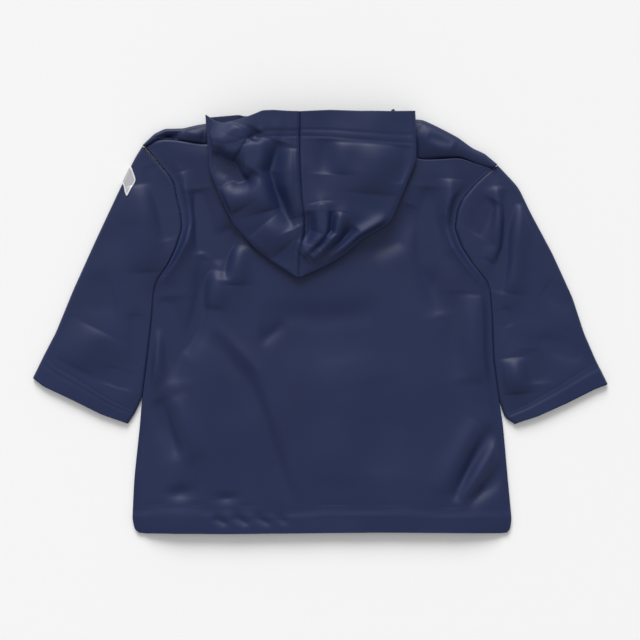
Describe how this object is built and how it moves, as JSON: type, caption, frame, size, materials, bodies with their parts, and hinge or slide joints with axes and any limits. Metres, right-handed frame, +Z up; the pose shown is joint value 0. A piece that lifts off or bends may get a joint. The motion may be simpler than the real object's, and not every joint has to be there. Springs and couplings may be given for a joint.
{
  "type": "kids raincoat",
  "caption": "Hooded toddler's raincoat in coated navy cloth, laid flat on its front with the hood turned back; snap front, bare sleeve patch.",
  "frame": {"origin": "centre of the coat's bounding box, on the surface it lies on", "axes": "+X towards the wearer's right sleeve, +Y from hem to hood, +Z up from the surface, away from the fronts"},
  "size_m": [0.5975, 0.442, 0.0258],
  "materials": {
    "coated_cloth": "satin",
    "reflective_patch": "satin",
    "snap_lacquer": "gloss"
  },
  "bodies": {
    "root": {"back": "coated_cloth", "front_left": "coated_cloth", "front_right": "coated_cloth", "sleeve_left": "coated_cloth", "sleeve_right": "coated_cloth", "arm_patch": "reflective_patch", "hood_left": "coated_cloth", "hood_right": "coated_cloth", "snap_1": "snap_lacquer", "snap_2": "snap_lacquer", "snap_3": "snap_lacquer", "snap_4": "snap_lacquer", "snap_5": "snap_lacquer"}
  },
  "joints": []
}
